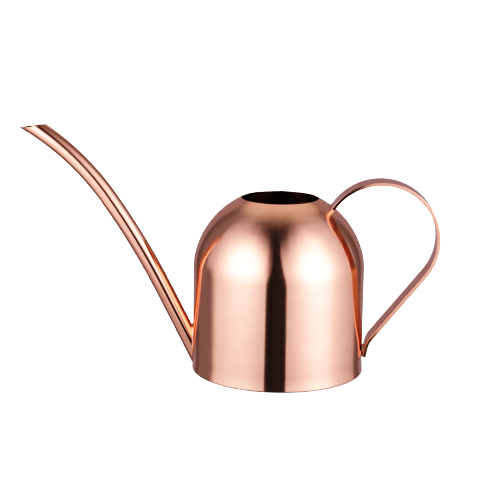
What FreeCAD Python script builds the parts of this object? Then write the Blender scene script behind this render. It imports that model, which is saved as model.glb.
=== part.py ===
"""Watering can: a round welded sheet-metal body with a long curved spout and a flat strap handle.

Millimetres. +Z is up, the origin is the centre of the base on the body's axis, the handle is on +X
and the spout on -X.
"""
import FreeCAD, Part
import math
import os

# Body
BODY_R = 60.0
SHEET = 0.7
CROWN_R = 59.4
CROWN_CENTRE_R = 1.2
CROWN_CENTRE_Z = 69.1
SHOULDER_BEND_R = 45.0
SHOULDER_SEAM_TURN = 2.0
FILLER_R = 27.0
FLARE_TOP_Z = 9.0
FLARE_R = 75.0

# Base
RIM_HEIGHT = 0.8
RIM_OUTER_ROUND = 0.6
RIM_INNER_ROUND = 0.3
BASE_TOP_Z = 2.0
BASE_BEND_R = 0.9
BASE_PANEL_R = 46.0
BASE_STEP_RISE = 0.5
BASE_STEP_RUN = 1.5

# Spout
SPOUT_R = 6.2
SPOUT_WALL = 0.6
SPOUT_FOOT_Z = 0.6
SPOUT_ANGLE = 63.1
SPOUT_STRAIGHT = 45.4
SPOUT_BEND_R = 520.0
SPOUT_BEND_LENGTH = 76.4
SPOUT_TIP_BEND_R = 182.5
SPOUT_TIP_LENGTH = 90.0
MOUTH_X = -172.0
MOUTH_Z = 169.4
MOUTH_FALL = 7.2

# Handle
STRAP_WIDTH = 21.0
STRAP_THICK = 2.45
STRAP_EDGE_ROUND = 0.35
HANDLE_START_X = 38.8
HANDLE_START_Z = 119.1
HANDLE_ANGLE = 53.2
HANDLE_TOP_BEND_R = 39.7
HANDLE_TOP_TURN = 181.4
HANDLE_FOOT_BEND_R = 16.5
HANDLE_FOOT_LEAN = 11.0
HANDLE_END_Z = 11.7
HANDLE_FOOT_GAP = 0.1

# Welds
SPOUT_BEAD = 0.7
TOP_BEAD = 0.8
FOOT_FILL_INSET = 0.6
FOOT_FILL_TOP_Z = 16.0

# Working lengths that reach past what they cut
REACH = 20.0
TALL = 80.0
TOUCH = 0.01

UP = FreeCAD.Vector(0, 0, 1)
ORIGIN = FreeCAD.Vector(0, 0, 0)
SIDE = FreeCAD.Vector(0, 1, 0)
INNER_R = BODY_R - SHEET
BORE_R = SPOUT_R - SPOUT_WALL


def point(x, z):
    """A point in the XZ plane."""
    return FreeCAD.Vector(x, 0, z)


def polar(x, z, radius, degrees):
    """The point at an angle on a circle in the XZ plane."""
    angle = math.radians(degrees)
    return point(x + radius * math.cos(angle), z + radius * math.sin(angle))


def line(a, b):
    return Part.LineSegment(a, b).toShape()


def arc(x, z, radius, start, end):
    """An arc in the XZ plane, angles in degrees from +X towards +Z."""
    middle = (start + end) / 2
    ends = [polar(x, z, radius, angle) for angle in (start, middle, end)]
    return Part.Arc(*ends).toShape()


def seam_aside(shape):
    """Turn a round shape so its seam line lies on +Y, clear of the spout and handle."""
    return shape.rotated(ORIGIN, UP, 90)


def turned(edges):
    """The ring made by turning a closed outline about the body's axis."""
    wire = Part.Wire(Part.__sortEdges__(edges))
    return seam_aside(Part.Face(wire).revolve(ORIGIN, UP, 360))


def shoulder_angle():
    """The angle on the crown circle where the shoulder bend runs out."""
    across = BODY_R - SHOULDER_BEND_R - CROWN_CENTRE_R
    return math.degrees(math.acos(across / (CROWN_R - SHOULDER_BEND_R)))


def shoulder_z():
    """The height where the shoulder bend leaves the straight wall."""
    angle = math.radians(shoulder_angle())
    return CROWN_CENTRE_Z + (CROWN_R - SHOULDER_BEND_R) * math.sin(angle)


def shoulder_seam():
    """The angles on the shoulder bend where its seam starts and ends."""
    middle = shoulder_angle() / 2
    return middle - SHOULDER_SEAM_TURN / 2, middle + SHOULDER_SEAM_TURN / 2


def shoulder_arcs(start, end):
    """The outer and inner curves of the shoulder bend between two angles."""
    x, z = BODY_R - SHOULDER_BEND_R, shoulder_z()
    return [arc(x, z, radius, start, end) for radius in (SHOULDER_BEND_R, SHOULDER_BEND_R - SHEET)]


def shoulder_cut(angle):
    """The line through the sheet at an angle on the shoulder bend."""
    x, z = BODY_R - SHOULDER_BEND_R, shoulder_z()
    return line(polar(x, z, SHOULDER_BEND_R, angle), polar(x, z, SHOULDER_BEND_R - SHEET, angle))


def flare_angle(z, radius):
    """The angle on a flare circle where it passes a height."""
    return 180 + math.degrees(math.asin((FLARE_TOP_Z - z) / radius))


def flare_x(z, radius):
    """How far out the flared foot of the wall is at a height."""
    return polar(BODY_R + FLARE_R, FLARE_TOP_Z, radius, flare_angle(z, radius)).x


def flare_arc(radius, low, high):
    """The flared foot's curve between two heights."""
    return arc(BODY_R + FLARE_R, FLARE_TOP_Z, radius, flare_angle(low, radius), flare_angle(high, radius))


def crown_angle(radius):
    """The angle on a crown circle where it passes the filler's edge."""
    return math.degrees(math.acos((FILLER_R - CROWN_CENTRE_R) / radius))


def carried(section, start, heading, legs):
    """Carry a flat section along legs in the XZ plane, each a (length, bend radius, turn)."""
    solids = []
    place = start
    for length, radius, turn in legs:
        if turn:
            side = math.copysign(1, turn)
            centre = polar(place.x, place.z, radius, heading + 90 * side)
            axis = SIDE * -side
            solids.append(section.revolve(centre, axis, abs(turn)))
            section = section.rotated(centre, axis, abs(turn))
            heading += turn
            place = polar(centre.x, centre.z, radius, heading - 90 * side)
        else:
            step = polar(0, 0, length, heading)
            solids.append(section.extrude(step))
            section = section.translated(step)
            place = place + step
    return solids[0].multiFuse(solids[1:]).removeSplitter() if len(solids) > 1 else solids[0]


def spout_foot():
    """Where the spout's centre line meets the body wall."""
    return point(-BODY_R, SPOUT_FOOT_Z + SPOUT_R / math.cos(math.radians(SPOUT_ANGLE)))


def rod_along(radius, legs):
    """A solid round rod over some of the spout's legs, starting inside the body."""
    heading = 180 - SPOUT_ANGLE
    foot = spout_foot()
    start = polar(foot.x, foot.z, REACH, heading + 180)
    normal = polar(0, 0, 1, heading)
    disc = Part.Face(Part.Wire(Part.makeCircle(radius, start, normal)))
    return carried(disc, start, heading, legs)


def spout_rod(radius):
    """A solid rod along the spout, from inside the body to past the mouth."""
    legs = [
        (REACH + SPOUT_STRAIGHT, 0, 0),
        (0, SPOUT_BEND_R, math.degrees(SPOUT_BEND_LENGTH / SPOUT_BEND_R)),
        (0, SPOUT_TIP_BEND_R, math.degrees(SPOUT_TIP_LENGTH / SPOUT_TIP_BEND_R)),
    ]
    return rod_along(radius, legs)


def strap_section(start, heading):
    """The strap's rounded cross-section, square to its heading."""
    half_t = STRAP_THICK / 2
    half_w = STRAP_WIDTH / 2
    block = Part.makeBox(1, STRAP_WIDTH, STRAP_THICK, FreeCAD.Vector(0, -half_w, -half_t))
    lengthways = [edge for edge in block.Edges if abs(edge.tangentAt(edge.FirstParameter).x) > 0.5]
    block = block.makeFillet(STRAP_EDGE_ROUND, lengthways)
    section = [face for face in block.Faces if abs(face.CenterOfMass.x) < 1e-6][0]
    section = section.rotated(ORIGIN, SIDE, -heading)
    return section.translated(start)


def strap_along(legs):
    """The strap over some legs, starting well inside the dome."""
    start = polar(HANDLE_START_X, HANDLE_START_Z, REACH, HANDLE_ANGLE + 180)
    return carried(strap_section(start, HANDLE_ANGLE), start, HANDLE_ANGLE, legs)


def shared_out(step, first, second):
    """How far to go along each of two headings, one after the other, to make one step."""
    a = polar(0, 0, 1, first)
    b = polar(0, 0, 1, second)
    area = a.cross(b).y
    return step.cross(b).y / area, a.cross(step).y / area


def strap():
    """The whole strap, its top end running on into the dome."""
    bend_end = HANDLE_ANGLE - HANDLE_TOP_TURN
    tail_heading = -90 - HANDLE_FOOT_LEAN
    foot_turn = tail_heading - bend_end
    top = polar(HANDLE_START_X, HANDLE_START_Z, HANDLE_TOP_BEND_R, HANDLE_ANGLE - 90)
    top_end = polar(top.x, top.z, HANDLE_TOP_BEND_R, bend_end + 90)
    foot_chord = 2 * HANDLE_FOOT_BEND_R * math.sin(math.radians(foot_turn / 2))
    foot_bend = polar(0, 0, foot_chord, bend_end + foot_turn / 2)
    end = point(BODY_R + HANDLE_FOOT_GAP + STRAP_THICK / 2, HANDLE_END_Z)
    run, tail = shared_out(end - top_end - foot_bend, bend_end, tail_heading)
    legs = [
        (REACH, 0, 0),
        (0, HANDLE_TOP_BEND_R, -HANDLE_TOP_TURN),
        (run, 0, 0),
        (0, HANDLE_FOOT_BEND_R, foot_turn),
        (tail, 0, 0),
    ]
    return strap_along(legs)


def crown_block():
    """The dome as a solid, for shaping what lands on it."""
    low = shoulder_angle()
    foot = polar(CROWN_CENTRE_R, CROWN_CENTRE_Z, CROWN_R, low)
    peak = polar(CROWN_CENTRE_R, CROWN_CENTRE_Z, CROWN_R, 90)
    edges = [
        arc(CROWN_CENTRE_R, CROWN_CENTRE_Z, CROWN_R, low, 90),
        line(peak, point(0, peak.z)),
        line(point(0, peak.z), point(0, foot.z)),
        line(point(0, foot.z), foot),
    ]
    return turned(edges)


def cylinder(radius, low, high):
    return seam_aside(Part.makeCylinder(radius, high - low, point(0, low)))


def wall_block():
    """The wall as a solid with its flared foot, reaching past it both ways."""
    foot_x = flare_x(RIM_HEIGHT, FLARE_R)
    edges = [
        line(point(0, -TALL), point(foot_x, -TALL)),
        line(point(foot_x, -TALL), point(foot_x, RIM_HEIGHT)),
        flare_arc(FLARE_R, RIM_HEIGHT, FLARE_TOP_Z),
        line(point(BODY_R, FLARE_TOP_Z), point(BODY_R, TALL)),
        line(point(BODY_R, TALL), point(0, TALL)),
        line(point(0, TALL), point(0, -TALL)),
    ]
    return turned(edges)


def lies_on(edge, shape):
    """Whether an edge's middle is on the skin of a solid."""
    middle = (edge.FirstParameter + edge.LastParameter) / 2
    spot = Part.Vertex(edge.valueAt(middle))
    return shape.Shells[0].distToShape(spot)[0] < TOUCH


def bead(block, limb, radius):
    """The weld bead round a limb where it lands on a block."""
    joined = block.fuse(limb)
    seam = [edge for edge in joined.Edges if lies_on(edge, block) and lies_on(edge, limb)]
    return joined.makeFillet(radius, seam).cut(block).cut(limb)


def body_wall():
    inner_flare = FLARE_R + SHEET
    top = shoulder_z()
    seam_start = shoulder_seam()[0]
    outer_foot = point(flare_x(RIM_HEIGHT, FLARE_R), RIM_HEIGHT)
    inner_foot = point(flare_x(RIM_HEIGHT, inner_flare), RIM_HEIGHT)
    edges = [
        flare_arc(FLARE_R, RIM_HEIGHT, FLARE_TOP_Z),
        line(point(BODY_R, FLARE_TOP_Z), point(BODY_R, top)),
        *shoulder_arcs(0, seam_start),
        shoulder_cut(seam_start),
        line(point(INNER_R, top), point(INNER_R, FLARE_TOP_Z)),
        flare_arc(inner_flare, RIM_HEIGHT, FLARE_TOP_Z),
        line(inner_foot, outer_foot),
    ]
    return turned(edges).cut(spout_rod(BORE_R))


def body_dome():
    low = shoulder_angle()
    inner_r = CROWN_R - SHEET
    x, z = CROWN_CENTRE_R, CROWN_CENTRE_Z
    outer_high = crown_angle(CROWN_R)
    inner_high = crown_angle(inner_r)
    seam_end = shoulder_seam()[1]
    edges = [
        arc(x, z, CROWN_R, low, outer_high),
        arc(x, z, inner_r, low, inner_high),
        *shoulder_arcs(seam_end, low),
        shoulder_cut(seam_end),
        line(polar(x, z, CROWN_R, outer_high), polar(x, z, inner_r, inner_high)),
    ]
    return turned(edges)


def shoulder_weld():
    start, end = shoulder_seam()
    return turned([*shoulder_arcs(start, end), shoulder_cut(start), shoulder_cut(end)])


def flange_x():
    """The outside of the base plate's turned-down edge, where its bend starts."""
    return flare_x(BASE_TOP_Z - BASE_BEND_R, FLARE_R + SHEET)


def base_plate():
    outer = flange_x()
    inner = outer - SHEET
    foot = point(flare_x(RIM_HEIGHT, FLARE_R + SHEET), RIM_HEIGHT)
    bend_x = outer - BASE_BEND_R
    bend_z = BASE_TOP_Z - BASE_BEND_R
    inner_bend = BASE_BEND_R - SHEET
    low_z = BASE_TOP_Z - SHEET
    step_r = BASE_PANEL_R + BASE_STEP_RUN
    top = BASE_TOP_Z + BASE_STEP_RISE
    edges = [
        line(point(inner, RIM_HEIGHT), foot),
        flare_arc(FLARE_R + SHEET, RIM_HEIGHT, bend_z),
        arc(bend_x, bend_z, BASE_BEND_R, 0, 90),
        line(point(bend_x, BASE_TOP_Z), point(step_r, BASE_TOP_Z)),
        line(point(step_r, BASE_TOP_Z), point(BASE_PANEL_R, top)),
        line(point(BASE_PANEL_R, top), point(0, top)),
        line(point(0, top), point(0, top - SHEET)),
        line(point(0, top - SHEET), point(BASE_PANEL_R, top - SHEET)),
        line(point(BASE_PANEL_R, top - SHEET), point(step_r, low_z)),
        line(point(step_r, low_z), point(bend_x, low_z)),
        arc(bend_x, bend_z, inner_bend, 90, 0),
        line(point(inner, bend_z), point(inner, RIM_HEIGHT)),
    ]
    return turned(edges)


def base_weld():
    inner = flange_x() - SHEET
    outer = flare_x(RIM_HEIGHT, FLARE_R)
    out_x = outer - RIM_OUTER_ROUND
    in_x = inner + RIM_INNER_ROUND
    edges = [
        line(point(inner, RIM_HEIGHT), point(outer, RIM_HEIGHT)),
        line(point(outer, RIM_HEIGHT), point(outer, RIM_OUTER_ROUND)),
        arc(out_x, RIM_OUTER_ROUND, RIM_OUTER_ROUND, 0, -90),
        line(point(out_x, 0), point(in_x, 0)),
        arc(in_x, RIM_INNER_ROUND, RIM_INNER_ROUND, -90, -180),
        line(point(inner, RIM_INNER_ROUND), point(inner, RIM_HEIGHT)),
    ]
    return turned(edges)


def spout_tube():
    tube = spout_rod(SPOUT_R).cut(spout_rod(BORE_R)).cut(wall_block())
    mouth = Part.makeBox(2 * TALL, TALL, TALL, FreeCAD.Vector(-TALL, -TALL / 2, 0))
    mouth.rotate(ORIGIN, SIDE, -MOUTH_FALL)
    mouth.translate(point(MOUTH_X, MOUTH_Z))
    return tube.cut(mouth)


def spout_weld():
    rod = rod_along(SPOUT_R, [(REACH + SPOUT_STRAIGHT, 0, 0)])
    floor = Part.makeBox(4 * BODY_R, 4 * BODY_R, TALL, FreeCAD.Vector(-2 * BODY_R, -2 * BODY_R, -TALL))
    return bead(cylinder(BODY_R, -TALL, TALL), rod, SPOUT_BEAD).cut(wall_block()).cut(floor)


def handle_strap():
    return strap().cut(crown_block()).cut(wall_block())


def handle_top_weld():
    return bead(crown_block(), strap_along([(REACH, 0, 0)]), TOP_BEAD)


def handle_bottom_weld():
    """Fills the gap where the round wall curves away behind the flat strap."""
    wide = STRAP_WIDTH - 2 * FOOT_FILL_INSET
    low = HANDLE_END_Z + FOOT_FILL_INSET
    corner = FreeCAD.Vector(BODY_R - REACH, -wide / 2, low)
    block = Part.makeBox(REACH + STRAP_THICK, wide, FOOT_FILL_TOP_Z - low, corner)
    return block.cut(strap()).cut(wall_block())


PARTS = {
    "body_wall": body_wall,
    "body_dome": body_dome,
    "shoulder_weld": shoulder_weld,
    "base_plate": base_plate,
    "base_weld": base_weld,
    "spout_tube": spout_tube,
    "spout_weld": spout_weld,
    "handle_strap": handle_strap,
    "handle_top_weld": handle_top_weld,
    "handle_bottom_weld": handle_bottom_weld,
}

os.makedirs("parts", exist_ok=True)
for name, make in PARTS.items():
    make().exportStep("parts/" + name + ".step")
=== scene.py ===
import math

import bpy
from mathutils import Matrix

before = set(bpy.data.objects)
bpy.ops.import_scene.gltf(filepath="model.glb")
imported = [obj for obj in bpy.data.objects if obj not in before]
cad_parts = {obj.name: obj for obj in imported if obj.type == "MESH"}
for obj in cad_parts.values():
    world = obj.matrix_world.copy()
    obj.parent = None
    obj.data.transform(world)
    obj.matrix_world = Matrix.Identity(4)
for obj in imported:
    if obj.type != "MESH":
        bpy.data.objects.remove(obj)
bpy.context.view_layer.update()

# ---------------------------------------------------------------- the can's own sizes, metres

BODY_R = 0.060
SHEET = 0.0007
CROWN_R = 0.0594
CROWN_CENTRE_R = 0.0012
CROWN_CENTRE_Z = 0.0691
SHOULDER_Z = 0.0762
FILLER_R = 0.027
STRAP_HALF = 0.0105

# ---------------------------------------------------------------- colours

COPPER = (0.97, 0.56, 0.385, 1)
# A darker copy of the copper for the spout and handle: painted shade for the dimmer light on them
SHADED_COPPER = (0.85, 0.46, 0.31, 1)
SEAM_COPPER = (0.40, 0.20, 0.14, 1)
# The can's inside, painted near-black: painted shade for its dark interior
INSIDE_PAINTED_SHADE = (0.10, 0.035, 0.025, 1)
WORN_SHARE = (1.0, 1.11, 1.17, 1)
DULL_SHARE = (0.97, 0.93, 0.92, 1)
EDGE_TINT = (0.90, 0.76, 0.74, 1)
LAMP_WHITE = (1.0, 0.88, 1.03, 1)
ROOM_WHITE = (1.05, 0.88, 0.87, 1)
PAPER_WHITE = (1, 1, 1, 1)
FLOOR_GREY = (0.88, 0.88, 0.88, 1)


# ---------------------------------------------------------------- node helpers

class Tree:
    """Short names for building a node tree."""

    def __init__(self, tree):
        self.tree = tree
        tree.nodes.clear()

    def add(self, kind, inputs=None, **props):
        node = self.tree.nodes.new(kind)
        for key, value in props.items():
            setattr(node, key, value)
        for key, value in (inputs or {}).items():
            self.feed(node.inputs[key], value)
        return node

    def feed(self, socket, value):
        if isinstance(value, bpy.types.NodeSocket):
            self.tree.links.new(value, socket)
        else:
            socket.default_value = value

    def coordinate(self, name):
        return self.add("ShaderNodeTexCoord").outputs[name]

    def parts(self, vector):
        return self.add("ShaderNodeSeparateXYZ", {0: vector}).outputs

    def math(self, operation, a, b=0.0, c=0.0):
        return self.add("ShaderNodeMath", {0: a, 1: b, 2: c}, operation=operation).outputs[0]

    def product(self, a, b):
        return self.math("MULTIPLY", a, b)

    def length(self, a, b):
        return self.math("SQRT", self.math("MULTIPLY_ADD", a, a, self.product(b, b)))

    def fade(self, value, start, end):
        """0 at start to 1 at end, held at both."""
        node = self.add("ShaderNodeMapRange", {0: value, 1: start, 2: end, 3: 0.0, 4: 1.0},
                        interpolation_type="SMOOTHSTEP")
        return node.outputs[0]

    def ramp(self, angle, span, stops, level=1.0):
        """Heights along an angle that runs from -span to span; stops are (degrees, height up to level)."""
        node = self.add("ShaderNodeValToRGB", {0: self.math("MULTIPLY_ADD", angle, 0.5 / span, 0.5)})
        elements = node.color_ramp.elements
        elements.remove(elements[-1])
        places = [0.5 + 0.5 * degrees / span for degrees, _ in stops]
        elements[0].position = places[0]
        for place in places[1:]:
            elements.new(place)
        for element, (_, height) in zip(elements, stops):
            grey = height / level
            element.color = (grey, grey, grey, 1)
        return self.product(node.outputs[0], level)

    def mix(self, factor, a, b):
        node = self.add("ShaderNodeMix", data_type="RGBA")
        for socket, value in ((0, factor), (6, a), (7, b)):
            self.feed(node.inputs[socket], value)
        return node.outputs[2]


def new_material(name):
    material = bpy.data.materials.new(name)
    material.use_nodes = True
    return material, Tree(material.node_tree)


def place_object(name, data):
    thing = bpy.data.objects.new(name, data)
    bpy.context.scene.collection.objects.link(thing)
    return thing


# ---------------------------------------------------------------- studio: the screens
# Azimuths and heights are in degrees; azimuth 0 is the front and 90 the right. Levels are
# brightnesses, on the scale where WHITE_LEVEL shows as white. A pair of angles is where a
# fade starts and where it is full. A loss is the share of the light that is taken away.

WHITE_LEVEL = 1.7
HALF_TURN = 180.0
SCREEN_R = 0.434
SCREEN_MID = 0.06
SCREEN_STEPS = 40

# How bright the cloth is round the can, and the height at which it has half faded out
CLOTH_PEAK = 2.0
CLOTH_LEVELS = (
    (-103, 0.6), (-92, 0.8), (-80, 1.08), (-62, 1.16), (-48, 1.16), (-34, 1.06), (-20, 0.9), (-14, 0.87),
    (12, 0.88), (25, 1.13), (40, 1.47), (54, 1.93), (66, 1.83), (78, 1.28), (95, 0.93), (105, 0.78),
    (119, 0.57))
CLOTH_TOP_LIMIT = 100.0
CLOTH_TOPS = ((-103, 54), (-55, 53), (-35, 49), (-12, 36), (9, 42), (28, 54.5), (55, 58), (120, 60))
TOP_FADE = (19.0, -20.0)

# Low down the cloth is lit less; a little more comes back off the table just above its foot
FLOOR_FADE = (-29.0, -21.0)
FLOOR_LEVEL = 0.2
LOW_LEVEL = 0.8
BOUNCE_GAIN = 0.1
BOUNCE_HEIGHTS = (-13.0, -20.0)

# On the left the table itself shows below the cloth
LEFT_BELOW_LEVEL = 0.6
LEFT_BELOW_AZIMUTHS = (0.0, -30.0)
LEFT_BELOW_HEIGHTS = (-50.0, -42.0)

# The low far end of the left screen, which the lamp behind it doesn't reach
UNLIT_LOSS = 0.75
UNLIT_AZIMUTHS = (-82.0, -98.0)
UNLIT_HEIGHTS = (5.0, -5.0)

# The two lamps: azimuth, height, spread across, spread up
GLOW_LEVEL = 3.9
GLOWS = ((-45, 17, 24, 20), (47, 15, 21, 19))

# The hem of the left screen beside the gap, above the camera, which lets less light through
HEM_AZIMUTH = -8.0
HEM_HALF = 12.0
HEM_HEIGHTS = (-8.0, 14.0)
HEM_LOSS = 0.82

# Height in metres, then the azimuths where the left and the right screen start and end
SCREEN_ROWS = (
    (-0.5, (-86, -14.6), (12, 119)),
    (-0.1, (-91, -14.6), (12, 119)),
    (-0.05, (-95, -14.6), (12, 119)),
    (-0.03, (-100, -14.6), (11.6, 119)),
    (0.0, (-104, -13.8), (11.2, 119)),
    (0.04, (-104, -13.2), (10.4, 119)),
    (0.1, (-104, -10.5), (9.0, 119)),
    (0.16, (-104, -7.6), (7.6, 119)),
    (0.28, (-104, -7.0), (5.2, 119)),
    (0.4, (-104, -7.2), (3.2, 119)),
    (1.6, (-104, -8.0), (3.2, 119)),
)


def azimuth_of(t, x, y):
    return t.math("DEGREES", t.math("ARCTAN2", x, t.product(y, -1.0)))


def glow(t, azimuth, height, at, up, wide, tall):
    """The hot spot a lamp makes on a screen: its azimuth and height, then its spread each way."""
    across = t.math("DIVIDE", t.math("SUBTRACT", azimuth, at), wide)
    along = t.math("DIVIDE", t.math("SUBTRACT", height, up), tall)
    falloff = t.math("MULTIPLY_ADD", across, across, t.product(along, along))
    return t.product(t.math("POWER", math.e, t.product(falloff, -1.0)), GLOW_LEVEL)


def screen_material():
    """White diffusing cloth, lit from behind by a lamp at each side and fading towards its top.

    Where the cloth has faded out it is clear, so the room behind it shows.
    """
    material, t = new_material("studio_screen")
    x, y, z = t.parts(t.coordinate("Object"))
    azimuth = azimuth_of(t, x, y)
    height = t.math("DEGREES", t.math("ARCTAN2", t.math("SUBTRACT", z, SCREEN_MID), SCREEN_R))

    cloth = t.ramp(azimuth, HALF_TURN, CLOTH_LEVELS, CLOTH_PEAK)
    unlit = t.product(t.fade(azimuth, *UNLIT_AZIMUTHS), t.fade(height, *UNLIT_HEIGHTS))
    cloth = t.product(cloth, t.math("MULTIPLY_ADD", unlit, -UNLIT_LOSS, 1.0))

    top = t.ramp(azimuth, HALF_TURN, CLOTH_TOPS, CLOTH_TOP_LIMIT)
    upper = t.fade(t.math("SUBTRACT", height, top), *TOP_FADE)
    bounce = t.math("MULTIPLY_ADD", t.fade(height, *BOUNCE_HEIGHTS), BOUNCE_GAIN, LOW_LEVEL)
    lower = t.math("MULTIPLY_ADD", t.fade(height, *FLOOR_FADE), bounce, FLOOR_LEVEL)
    below = t.product(t.fade(azimuth, *LEFT_BELOW_AZIMUTHS), t.fade(height, *LEFT_BELOW_HEIGHTS))
    lower = t.math("MAXIMUM", lower, t.product(below, LEFT_BELOW_LEVEL))

    light = t.product(cloth, t.product(upper, lower))
    for spot in GLOWS:
        light = t.math("ADD", light, glow(t, azimuth, height, *spot))
    off_hem = t.math("ABSOLUTE", t.math("SUBTRACT", azimuth, HEM_AZIMUTH))
    hem = t.product(t.fade(off_hem, HEM_HALF, 0.0), t.fade(height, *HEM_HEIGHTS))
    light = t.product(light, t.math("MULTIPLY_ADD", hem, -HEM_LOSS, 1.0))

    lit = t.add("ShaderNodeEmission", {"Color": LAMP_WHITE, "Strength": light})
    clear = t.add("ShaderNodeBsdfTransparent", {"Color": t.math("SUBTRACT", 1.0, upper)})
    both = t.add("ShaderNodeAddShader", {0: lit.outputs[0], 1: clear.outputs[0]})
    t.add("ShaderNodeOutputMaterial", {"Surface": both.outputs[0]})
    return material


def build_screens():
    """Two curved screens round the front, with a gap for the camera that narrows upwards."""
    material = screen_material()
    across = SCREEN_STEPS + 1
    for name, side in (("screen_left", 1), ("screen_right", 2)):
        corners, faces = [], []
        for row in SCREEN_ROWS:
            start, end = row[side]
            for i in range(across):
                angle = math.radians(start + (end - start) * i / SCREEN_STEPS)
                corners.append((SCREEN_R * math.sin(angle), -SCREEN_R * math.cos(angle), row[0]))
        for j in range(len(SCREEN_ROWS) - 1):
            for i in range(SCREEN_STEPS):
                first = j * across + i
                faces.append((first, first + 1, first + across + 1, first + across))
        mesh = bpy.data.meshes.new(name)
        mesh.from_pydata(corners, [], faces)
        mesh.materials.append(material)
        screen = place_object(name, mesh)
        screen.visible_camera = False
        screen.visible_shadow = False
        screen.visible_diffuse = False


# ---------------------------------------------------------------- studio: the room

QUARTER_TURN = 90.0

# The ceiling: its level round the can and by height, and the height where the walls meet it
CEILING_LEVELS = (
    (-180, 0.9), (-150, 0.86), (-135, 0.74), (-115, 0.52), (-75, 0.38), (-45, 0.5), (0, 0.47), (45, 0.42),
    (75, 0.41), (115, 0.55), (135, 0.72), (150, 0.84), (180, 0.9))
CEILING_BY_HEIGHT = ((30, 0.75), (50, 0.9), (66, 0.95), (78, 0.75), (90, 0.5))
CEILING_EDGE_LIMIT = 100.0
CEILING_EDGES = (
    (-180, 32), (-150, 34), (-135, 46), (-122, 56), (-100, 68), (-60, 77), (0, 80), (60, 77), (100, 66),
    (122, 56), (135, 46), (150, 34), (180, 32))
CEILING_FADE = (-6.0, 8.0)

# The walls, and the dim things that stand out in the gap between the screens
WALL_LEVELS = (
    (-180, 0.4), (-146, 0.36), (-141, 0.14), (-136, 0.16), (-128, 0.25), (-93, 0.25), (-84, 0.02),
    (90, 0.02), (105, 0.22), (128, 0.25), (137, 0.17), (142, 0.17), (147, 0.36), (180, 0.4))
DARK_LEVELS = (
    (-180, 0.012), (-14, 0.012), (-9, 0.0), (-4, 0.026), (4, 0.03), (9, 0.006), (12, 0.02), (180, 0.012))
CLUTTER_PER_DEGREE = 0.35
CLUTTER_FADE = (0.4, 0.7)
CLUTTER_LEVEL = 0.012

FLOOR_HALF = 30.0
FLOOR_DROP = 0.0001
OVERHEAD_ENERGY = 16.0
OVERHEAD_SPREAD = 100


def build_world():
    """The room: walls behind the screens and a ceiling that is brighter at the back."""
    world = bpy.data.worlds.new("studio")
    world.use_nodes = True
    bpy.context.scene.world = world
    t = Tree(world.node_tree)
    x, y, z = t.parts(t.coordinate("Generated"))
    azimuth = azimuth_of(t, x, y)
    height = t.math("DEGREES", t.math("ARCSINE", z))

    edge = t.ramp(azimuth, HALF_TURN, CEILING_EDGES, CEILING_EDGE_LIMIT)
    above = t.fade(t.math("SUBTRACT", height, edge), *CEILING_FADE)
    brightness = t.ramp(height, QUARTER_TURN, CEILING_BY_HEIGHT)
    ceiling = t.product(t.ramp(azimuth, HALF_TURN, CEILING_LEVELS), brightness)
    walls = t.ramp(azimuth, HALF_TURN, WALL_LEVELS)
    light = t.math("MAXIMUM", t.product(ceiling, above), walls)

    clutter = t.add("ShaderNodeTexNoise", {
        "W": t.product(azimuth, CLUTTER_PER_DEGREE), "Scale": 1.0, "Detail": 2.0}, noise_dimensions="1D")
    dark = t.ramp(azimuth, HALF_TURN, DARK_LEVELS)
    dark = t.math("MULTIPLY_ADD", t.fade(clutter.outputs[0], *CLUTTER_FADE), CLUTTER_LEVEL, dark)
    light = t.math("ADD", light, dark)

    room = t.add("ShaderNodeBackground", {"Color": t.mix(above, LAMP_WHITE, ROOM_WHITE), "Strength": light})
    white = t.add("ShaderNodeBackground", {"Color": PAPER_WHITE, "Strength": 2 * WHITE_LEVEL})
    seen = t.add("ShaderNodeLightPath").outputs["Is Camera Ray"]
    both = t.add("ShaderNodeMixShader", {0: seen, 1: room.outputs[0], 2: white.outputs[0]})
    t.add("ShaderNodeOutputWorld", {"Surface": both.outputs[0]})


def build_floor():
    mesh = bpy.data.meshes.new("studio_floor")
    corners = [(x * FLOOR_HALF, y * FLOOR_HALF, 0) for x, y in ((-1, -1), (1, -1), (1, 1), (-1, 1))]
    mesh.from_pydata(corners, [], [(0, 1, 2, 3)])
    floor = place_object("studio_floor", mesh)
    floor.location.z = -FLOOR_DROP
    floor.visible_glossy = False
    material, t = new_material("studio_floor")
    paint = t.add("ShaderNodeBsdfDiffuse", {"Color": FLOOR_GREY, "Roughness": 0.5})
    t.add("ShaderNodeOutputMaterial", {"Surface": paint.outputs[0]})
    mesh.materials.append(material)


def build_overhead():
    """A soft overhead light that whitens the floor without showing in the metal."""
    light = bpy.data.lights.new("overhead", "SUN")
    light.energy = OVERHEAD_ENERGY
    light.angle = math.radians(OVERHEAD_SPREAD)
    place_object("overhead", light).visible_glossy = False


# ---------------------------------------------------------------- camera

CAMERA_PLACE = (0.01935, -0.9877, 0.3042)
CAMERA_YAW = -0.0474
CAMERA_PITCH = 0.2117
CAMERA_ROLL = 0.0130
CAMERA_LENS = 108.25
CAMERA_SENSOR = 36.0
CAMERA_REACH = 200.0

# A brightness, and how it shows; the curve for all channels comes after red, green and blue
TONE_CURVE = ((0.05, 0.019), (0.1, 0.061), (0.25, 0.23), (0.5, 0.5), (0.9, 0.79), (1.3, 0.94))
ALL_CHANNELS = 3


def build_camera():
    """The viewpoint: about a metre away, looking 12 degrees down at the front of the can."""
    turn = Matrix.Rotation(-CAMERA_YAW, 3, "Z")
    turn = turn @ Matrix.Rotation(math.pi / 2 - CAMERA_PITCH, 3, "X")
    turn = turn @ Matrix.Rotation(CAMERA_ROLL, 3, "Z")
    data = bpy.data.cameras.new("camera")
    data.lens = CAMERA_LENS
    data.sensor_width = CAMERA_SENSOR
    data.clip_end = CAMERA_REACH
    camera = place_object("camera", data)
    camera.matrix_world = Matrix.Translation(CAMERA_PLACE) @ turn.to_4x4()
    bpy.context.scene.camera = camera


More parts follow.
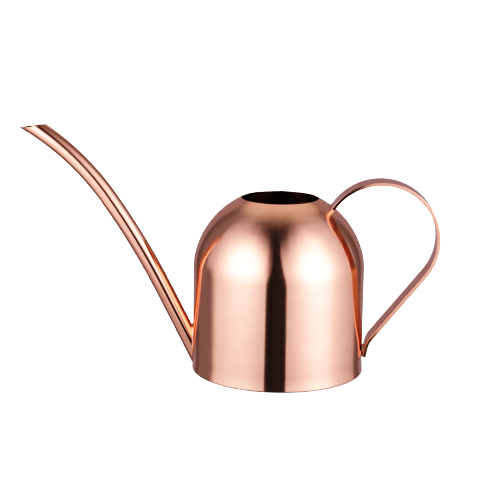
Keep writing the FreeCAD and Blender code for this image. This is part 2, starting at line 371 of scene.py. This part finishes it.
def set_tone():
    """A camera's contrast: darks held down, lights eased into white at the white level."""
    view = bpy.context.scene.view_settings
    view.view_transform = "Standard"
    view.use_curve_mapping = True
    view.curve_mapping.white_level = (WHITE_LEVEL, WHITE_LEVEL, WHITE_LEVEL)
    tone = view.curve_mapping.curves[ALL_CHANNELS]
    for light, shown in TONE_CURVE:
        tone.points.new(light / WHITE_LEVEL, shown)
    view.curve_mapping.update()


# ---------------------------------------------------------------- copper

# Colour: the slow patches, the stains, the brushing lines and the worn edges
PATCH_SCALE = 45
PATCH_FADE = (0.35, 0.65)
STAIN_SCALE = 160
STAIN_FADE = (0.62, 0.75)
STAIN_COVER = 0.15
LINE_FADE = (0.5, 0.75)
LINE_COVER = 0.4
WORN_COVER = 0.7

# Roughness: these are shares of the finish's own
LINE_ROUGHNESS = 0.50
LEAST_ROUGHNESS = 0.72
PATCH_ROUGHNESS = 0.08
# and these are added to it
STAIN_ROUGHNESS = 0.02
WORN_ROUGHNESS = 0.05
INSIDE_ROUGHNESS = 0.3

# How far the lines and the ripples stand up, metres
LINE_DEPTH = 4e-6
RIPPLE_DEPTH = 1.5e-5

# The brushing runs round the axis, a quarter turn from the radial tangent
BRUSHING_TURN = 0.25

# Where each edge starts to be worn and where it is fully worn: radii, heights, half widths, metres
LIP_WEAR = (FILLER_R + 0.0006, FILLER_R - 0.0001)
FOOT_WEAR = (0.0009, 0.0003)
RIM_WEAR = (BODY_R - 0.0014, BODY_R - 0.0008)
CORNER_WEAR = (STRAP_HALF - 0.0005, STRAP_HALF - 0.0002)
EDGE_FACE_CLEAN = (STRAP_HALF - 0.00001, STRAP_HALF - 0.0001)
# The spout's lip is a plane that rises towards the can; its wear is by height above that slope
SPOUT_LIP_SLOPE = 0.125
SPOUT_LIP_WEAR = (0.1900, 0.1908)
# The most the seam is worn, in patches; a face points up when its normal's height is over this
SEAM_WEAR = 0.4
FACES_UP = 0.5


class Copper:
    """A satin copper finish: brushing lines, uneven colour, paler worn edges, small stains."""

    def __init__(self, name, roughness, anisotropy=0.0, copper=COPPER):
        self.material, self.t = new_material(name)
        self.roughness = roughness
        self.anisotropy = anisotropy
        self.copper = copper
        self.worn = tuple(level * share for level, share in zip(copper, WORN_SHARE))
        self.dull = tuple(level * share for level, share in zip(copper, DULL_SHARE))
        self.place = self.t.coordinate("Object")
        self.x, self.y, self.z = self.t.parts(self.place)
        self.radius = self.t.length(self.x, self.y)

    def noise(self, vector, scale, detail):
        stretched = self.t.add("ShaderNodeMapping", {"Vector": vector, "Scale": scale})
        return self.t.add("ShaderNodeTexNoise", {
            "Vector": stretched.outputs[0], "Scale": 1.0, "Detail": detail, "Roughness": 0.6}).outputs[0]

    def even_noise(self, scale, detail):
        return self.noise(self.place, (scale, scale, scale), detail)

    def finish(self, lines, ripple, edge, inside=None, tangent=None):
        """Join it up: lines and ripple are heights, edge and inside are masks; the inside mask paints the
        can's inside near-black, as painted shade.
        """
        t = self.t
        patches = self.even_noise(PATCH_SCALE, detail=3.0)
        stain = t.fade(self.even_noise(STAIN_SCALE, detail=4.0), *STAIN_FADE)
        colour = t.mix(t.fade(patches, *PATCH_FADE), self.copper, self.dull)
        colour = t.mix(t.product(t.fade(lines, *LINE_FADE), LINE_COVER), colour, self.worn)
        colour = t.mix(t.product(stain, STAIN_COVER), colour, self.dull)
        colour = t.mix(t.product(edge, WORN_COVER), colour, self.worn)
        rough = t.math("MULTIPLY_ADD", lines, LINE_ROUGHNESS * self.roughness,
                       LEAST_ROUGHNESS * self.roughness)
        rough = t.math("MULTIPLY_ADD", patches, PATCH_ROUGHNESS * self.roughness, rough)
        rough = t.math("MULTIPLY_ADD", stain, STAIN_ROUGHNESS, rough)
        rough = t.math("MULTIPLY_ADD", edge, WORN_ROUGHNESS, rough)
        if inside:
            # Painted shade: the inside of the can is painted near-black
            colour = t.mix(inside, colour, INSIDE_PAINTED_SHADE)
            rough = t.math("MULTIPLY_ADD", inside, INSIDE_ROUGHNESS, rough)
        fine = t.add("ShaderNodeBump", {"Strength": 1.0, "Distance": LINE_DEPTH, "Height": lines})
        wavy = t.add("ShaderNodeBump", {
            "Strength": 1.0, "Distance": RIPPLE_DEPTH, "Height": ripple, "Normal": fine.outputs[0]})
        metal = t.add("ShaderNodeBsdfPrincipled", {
            "Base Color": colour, "Metallic": 1.0, "Roughness": rough, "Specular Tint": EDGE_TINT,
            "Anisotropic": self.anisotropy, "Anisotropic Rotation": BRUSHING_TURN if tangent else 0.0,
            "Normal": wavy.outputs[0]})
        if tangent:
            round_axis = t.add("ShaderNodeTangent", direction_type="RADIAL", axis=tangent)
            t.feed(metal.inputs["Tangent"], round_axis.outputs[0])
        t.add("ShaderNodeOutputMaterial", {"Surface": metal.outputs[0]})
        return self.material


def body_material():
    """Brushed round and round: lines follow the girth, spaced evenly up the wall and over the dome."""
    c = Copper("satin_copper_body", roughness=0.155, anisotropy=1.0)
    t = c.t
    rise = t.math("MAXIMUM", t.math("SUBTRACT", c.z, CROWN_CENTRE_Z), 0.0)
    out = t.math("SUBTRACT", c.radius, CROWN_CENTRE_R)
    over = t.product(t.math("ARCTAN2", rise, out), CROWN_R)
    along = t.math("ADD", t.math("MINIMUM", c.z, CROWN_CENTRE_Z), over)
    girth = t.add("ShaderNodeCombineXYZ", {0: c.x, 1: c.y, 2: along}).outputs[0]
    lines = c.noise(girth, scale=(14, 14, 1000), detail=3.0)
    ripple = c.noise(girth, scale=(60, 60, 420), detail=1.0)
    # The inner faces of the dome and wall, which finish() paints near-black as painted shade
    in_dome = t.math("LESS_THAN", t.length(rise, out), CROWN_R - SHEET / 2)
    in_wall = t.math("LESS_THAN", c.radius, BODY_R - SHEET / 2)
    above = t.math("GREATER_THAN", c.z, SHOULDER_Z)
    high = t.product(above, in_dome)
    low = t.product(t.math("SUBTRACT", 1.0, above), in_wall)
    lip = t.fade(c.radius, *LIP_WEAR)
    foot = t.fade(c.z, *FOOT_WEAR)
    return c.finish(lines, ripple, t.math("MAXIMUM", lip, foot), t.math("ADD", high, low), "Z")


def base_material():
    """The same sheet, spun: fine rings round the middle; the side that faces inwards is painted near-black,
    as painted shade inside the can.
    """
    c = Copper("satin_copper_base", roughness=0.25, anisotropy=0.6)
    t = c.t
    rings = t.add("ShaderNodeCombineXYZ", {0: c.radius}).outputs[0]
    lines = c.noise(rings, scale=(1500, 0, 0), detail=3.0)
    ripple = c.even_noise(90, detail=2.0)
    edge = t.fade(c.radius, *RIM_WEAR)
    facing = t.parts(t.add("ShaderNodeNewGeometry").outputs["Normal"])[2]
    # The side facing up, inside the can, is painted near-black as painted shade
    up = t.math("GREATER_THAN", facing, FACES_UP)
    return c.finish(lines, ripple, edge, up, "Z")


def seam_material():
    """The bottom seam, left browner and duller than the sheet by its welding."""
    c = Copper("satin_copper_seam", roughness=0.3, copper=SEAM_COPPER)
    lines = c.noise(c.place, scale=(60, 60, 900), detail=3.0)
    ripple = c.even_noise(300, detail=2.0)
    edge = c.t.product(c.even_noise(220, detail=2.0), SEAM_WEAR)
    return c.finish(lines, ripple, edge)


def spout_material():
    """Drawn tube: lines run along it, and its lip, which slopes a little, is worn."""
    # Painted shade: the tube is given the darker copy of the copper
    c = Copper("satin_copper_spout", roughness=0.06, copper=SHADED_COPPER)
    lines = c.noise(c.place, scale=(30, 900, 30), detail=3.0)
    ripple = c.even_noise(70, detail=1.0)
    lip = c.t.fade(c.t.math("MULTIPLY_ADD", c.x, -SPOUT_LIP_SLOPE, c.z), *SPOUT_LIP_WEAR)
    return c.finish(lines, ripple, lip)


def strap_material():
    """Flat strip: lines run along it, and its rounded corners are worn but not its edge faces."""
    # Painted shade: the strip is given the darker copy of the copper
    c = Copper("satin_copper_handle", roughness=0.08, copper=SHADED_COPPER)
    t = c.t
    lines = c.noise(c.place, scale=(25, 1500, 25), detail=3.0)
    ripple = c.even_noise(70, detail=1.0)
    side = t.math("ABSOLUTE", c.y)
    corner = t.fade(side, *CORNER_WEAR)
    corner = t.product(corner, t.fade(side, *EDGE_FACE_CLEAN))
    return c.finish(lines, ripple, corner)


def dress(names, material):
    for name in names:
        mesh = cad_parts[name].data
        mesh.materials.clear()
        mesh.materials.append(material)


dress(["body_wall", "body_dome", "shoulder_weld"], body_material())
dress(["base_plate"], base_material())
dress(["base_weld"], seam_material())
dress(["spout_tube", "spout_weld"], spout_material())
dress(["handle_strap", "handle_top_weld", "handle_bottom_weld"], strap_material())

build_world()
build_screens()
build_floor()
build_overhead()
build_camera()
set_tone()
